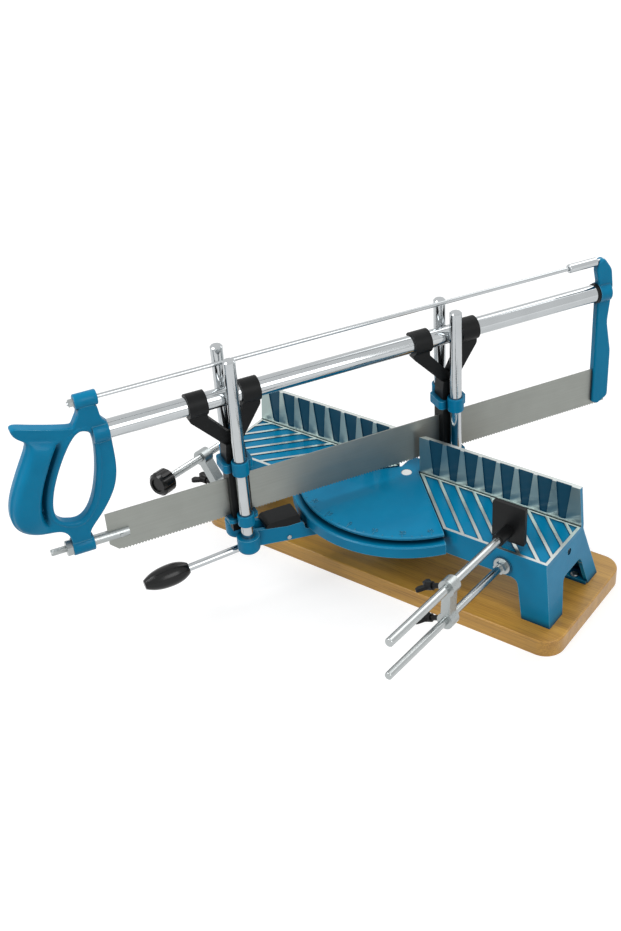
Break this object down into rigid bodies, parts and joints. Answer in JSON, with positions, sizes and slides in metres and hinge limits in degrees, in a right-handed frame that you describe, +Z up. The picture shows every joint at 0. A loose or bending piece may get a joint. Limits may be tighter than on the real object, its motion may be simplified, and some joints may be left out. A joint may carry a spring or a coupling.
{
  "type": "manual mitre saw",
  "caption": "Hand mitre saw: a long frame saw on sliding carriages over two pairs of columns, on a swinging arm under a graduated quadrant, with fenced tables and work clamps on a wooden board.",
  "frame": {"origin": "on the swinging arm's pivot axis, at the underside of the base board", "axes": "+X along the fence to the user's right, +Y to the rear, +Z up"},
  "size_m": [0.427, 0.5539, 0.282],
  "materials": {
    "board_wood": "clear varnish over light wood",
    "blue_casting": "glossy blue enamel over cast metal, machined strips bare",
    "chromed_rod": "bright chrome",
    "zinc_hardware": "bright zinc",
    "blade_steel": "ground spring steel",
    "black_plastic": "moulded, satin black",
    "black_pad": "satin black"
  },
  "bodies": {
    "base": {"base_board": "board_wood", "right_table": "blue_casting", "left_table": "blue_casting", "quadrant": "blue_casting", "pivot_bolt": "zinc_hardware", "pivot_insert": "zinc_hardware", "right_lug_screw": "zinc_hardware", "left_lug_screw": "zinc_hardware", "right_end_screw": "zinc_hardware", "left_end_screw": "zinc_hardware", "right_clamp_bar": "chromed_rod", "right_bar_nut": "zinc_hardware", "left_clamp_bar": "chromed_rod", "left_bar_nut": "zinc_hardware", "right_front_foot_screw": "zinc_hardware", "right_rear_foot_screw": "zinc_hardware", "left_front_foot_screw": "zinc_hardware", "left_rear_foot_screw": "zinc_hardware"},
    "arm": {"arm": "blue_casting", "latch_block": "black_plastic", "latch_pin": "zinc_hardware", "index_spring": "zinc_hardware", "front_near_column": "chromed_rod", "front_far_column": "chromed_rod", "rear_near_column": "chromed_rod", "rear_far_column": "chromed_rod"},
    "latch": {"latch_lever": "zinc_hardware", "lever_rod": "chromed_rod", "lever_grip": "black_plastic"},
    "front_carriage": {"front_upper_yoke": "blue_casting", "front_lower_yoke": "blue_casting", "front_blade_guide": "black_plastic", "front_tube_clip": "black_plastic"},
    "rear_carriage": {"rear_upper_yoke": "blue_casting", "rear_lower_yoke": "blue_casting", "rear_blade_guide": "black_plastic", "rear_tube_clip": "black_plastic"},
    "saw": {"blade": "blade_steel", "handle": "blue_casting", "frame_tube": "chromed_rod", "end_ring": "black_plastic", "far_arm": "blue_casting", "end_pin": "zinc_hardware", "tension_rod": "chromed_rod", "tension_nut": "zinc_hardware", "blade_stud": "zinc_hardware", "clevis_pin": "zinc_hardware"},
    "blade_nut": {"stud_nut": "zinc_hardware"},
    "barrel": {"tension_barrel": "zinc_hardware"},
    "right_coupler": {"right_coupling": "zinc_hardware"},
    "right_pusher": {"right_push_rod": "chromed_rod", "right_pad": "black_pad"},
    "right_lower_wing": {"right_lower_wing": "black_pad"},
    "right_upper_wing": {"right_upper_wing": "black_pad"},
    "left_coupler": {"left_coupling": "zinc_hardware"},
    "left_presser": {"left_foot": "black_pad"},
    "left_spindle": {"left_screw": "chromed_rod", "left_knob": "black_plastic"},
    "left_wing": {"left_wing": "black_pad"}
  },
  "joints": [
    {"name": "mitre_swing", "type": "hinge", "parent": "base", "child": "arm", "pos_m": [0, 0, 0.045], "axis": [0, 0, 1], "range_deg": [-12, 52.5]},
    {"name": "latch_lift", "type": "hinge", "parent": "arm", "child": "latch", "pos_m": [-0.06875, -0.11908, 0.0655], "axis": [-0.866, 0.5, 0], "range_deg": [0, 7], "stiffness_Nm_per_rad": 0.4, "springref_deg": -28.65, "deforming": ["index_spring"]},
    {"name": "front_lift", "type": "slide", "parent": "arm", "child": "front_carriage", "axis": [0, 0, 1], "range_m": [-0.013, 0.09]},
    {"name": "rear_lift", "type": "slide", "parent": "arm", "child": "rear_carriage", "axis": [0, 0, 1], "range_m": [-0.013, 0.09]},
    {"name": "saw_stroke", "type": "slide", "parent": "front_carriage", "child": "saw", "axis": [0.5, 0.866, 0], "range_m": [-0.11, 0.055]},
    {"name": "blade_nut_turn", "type": "hinge", "parent": "saw", "child": "blade_nut", "pos_m": [-0.17525, -0.30354, 0.124], "axis": [0.5, 0.866, 0], "continuous": true},
    {"name": "barrel_turn", "type": "hinge", "parent": "saw", "child": "barrel", "pos_m": [0.1, 0.17321, 0.2725], "axis": [0.5, 0.866, 0], "continuous": true},
    {"name": "right_coupler_slide", "type": "slide", "parent": "base", "child": "right_coupler", "axis": [0, 0.9969, -0.0785], "range_m": [-0.01, 0.024]},
    {"name": "right_rod_slide", "type": "slide", "parent": "right_coupler", "child": "right_pusher", "axis": [0, 0.9969, -0.0785], "range_m": [-0.01, 0.024]},
    {"name": "right_lower_wing_turn", "type": "hinge", "parent": "right_coupler", "child": "right_lower_wing", "pos_m": [0.12826, -0.16428, 0.07488], "axis": [-0.9272, -0.0294, -0.3735], "range_deg": [0, 180]},
    {"name": "right_upper_wing_turn", "type": "hinge", "parent": "right_coupler", "child": "right_upper_wing", "pos_m": [0.12826, -0.16153, 0.10977], "axis": [-0.9272, -0.0294, -0.3735], "range_deg": [0, 180]},
    {"name": "left_coupler_slide", "type": "slide", "parent": "base", "child": "left_coupler", "axis": [0, 0.9969, -0.0785], "range_m": [-0.004, 0.016]},
    {"name": "left_foot_feed", "type": "slide", "parent": "left_coupler", "child": "left_presser", "axis": [0, 0.9969, -0.0785], "range_m": [0, 0.032]},
    {"name": "left_knob_turn", "type": "hinge", "parent": "left_presser", "child": "left_spindle", "pos_m": [-0.18507, -0.10066, 0.10579], "axis": [0, 0.9969, -0.0785], "range_deg": [0, 9216]},
    {"name": "left_wing_turn", "type": "hinge", "parent": "left_coupler", "child": "left_wing", "pos_m": [-0.1845, -0.10288, 0.07756], "axis": [-1, 0, 0], "range_deg": [0, 180]}
  ],
  "couplings": [
    {"joint": "rear_lift", "follows": "front_lift", "ratio": 1},
    {"joint": "left_knob_turn", "follows": "left_foot_feed", "rad_per_m": 5026.5}
  ]
}
